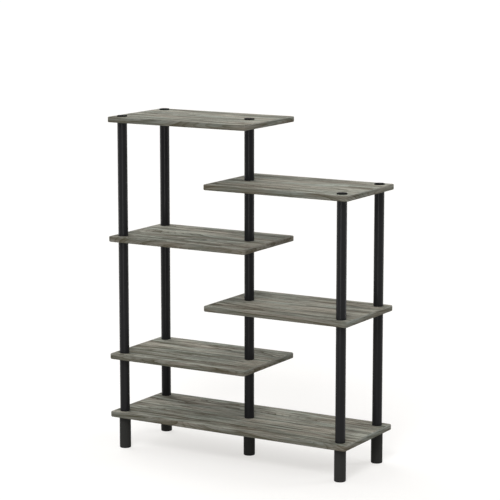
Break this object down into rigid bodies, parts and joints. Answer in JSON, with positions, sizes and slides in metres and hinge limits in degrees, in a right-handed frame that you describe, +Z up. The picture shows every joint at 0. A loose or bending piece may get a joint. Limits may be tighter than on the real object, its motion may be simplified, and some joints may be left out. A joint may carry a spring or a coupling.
{
  "type": "display shelf",
  "caption": "Interleaved display shelf with half-length boards at alternate levels on round black screw-together posts, free-standing.",
  "frame": {"origin": "on the floor, under the middle of the unit, at the centre of the middle foot", "axes": "+Z up, +X along the boards towards the end with the lower top board, and -Y out of the front"},
  "size_m": [0.798, 0.295, 1.004],
  "materials": {
    "wood_print_board": "matt grey oak print, melamine laminate on particleboard",
    "edge_band": "matt grey oak print on a 3 mm plastic edge band",
    "tube": "satin black extruded plastic",
    "moulded_plug": "satin black injection-moulded plastic",
    "leg": "satin black injection-moulded plastic",
    "glide": "matt black moulded plastic",
    "cap": "satin black injection-moulded plastic"
  },
  "bodies": {
    "root": {"bottom_shelf": "wood_print_board", "bottom_shelf_edge_band": "edge_band", "left_front_leg": "leg", "left_front_socket_plugs": "moulded_plug", "left_front_stud_plugs": "moulded_plug", "left_front_tube_1": "tube", "left_front_tube_2": "tube", "left_front_tube_3": "tube", "left_lower_shelf": "wood_print_board", "left_lower_shelf_edge_band": "edge_band", "left_middle_shelf": "wood_print_board", "left_middle_shelf_edge_band": "edge_band", "left_rear_leg": "leg", "left_rear_socket_plugs": "moulded_plug", "left_rear_stud_plugs": "moulded_plug", "left_rear_tube_1": "tube", "left_rear_tube_2": "tube", "left_rear_tube_3": "tube", "left_top_shelf": "wood_print_board", "left_top_shelf_edge_band": "edge_band", "leg_glides": "glide", "middle_leg": "leg", "middle_socket_plugs": "moulded_plug", "middle_stud_plugs": "moulded_plug", "middle_tube_1": "tube", "middle_tube_2": "tube", "middle_tube_3": "tube", "middle_tube_4": "tube", "middle_tube_5": "tube", "post_caps": "cap", "right_front_leg": "leg", "right_front_socket_plugs": "moulded_plug", "right_front_stud_plugs": "moulded_plug", "right_front_tube_1": "tube", "right_front_tube_2": "tube", "right_lower_shelf": "wood_print_board", "right_lower_shelf_edge_band": "edge_band", "right_rear_leg": "leg", "right_rear_socket_plugs": "moulded_plug", "right_rear_stud_plugs": "moulded_plug", "right_rear_tube_1": "tube", "right_rear_tube_2": "tube", "right_upper_shelf": "wood_print_board", "right_upper_shelf_edge_band": "edge_band"}
  },
  "joints": []
}
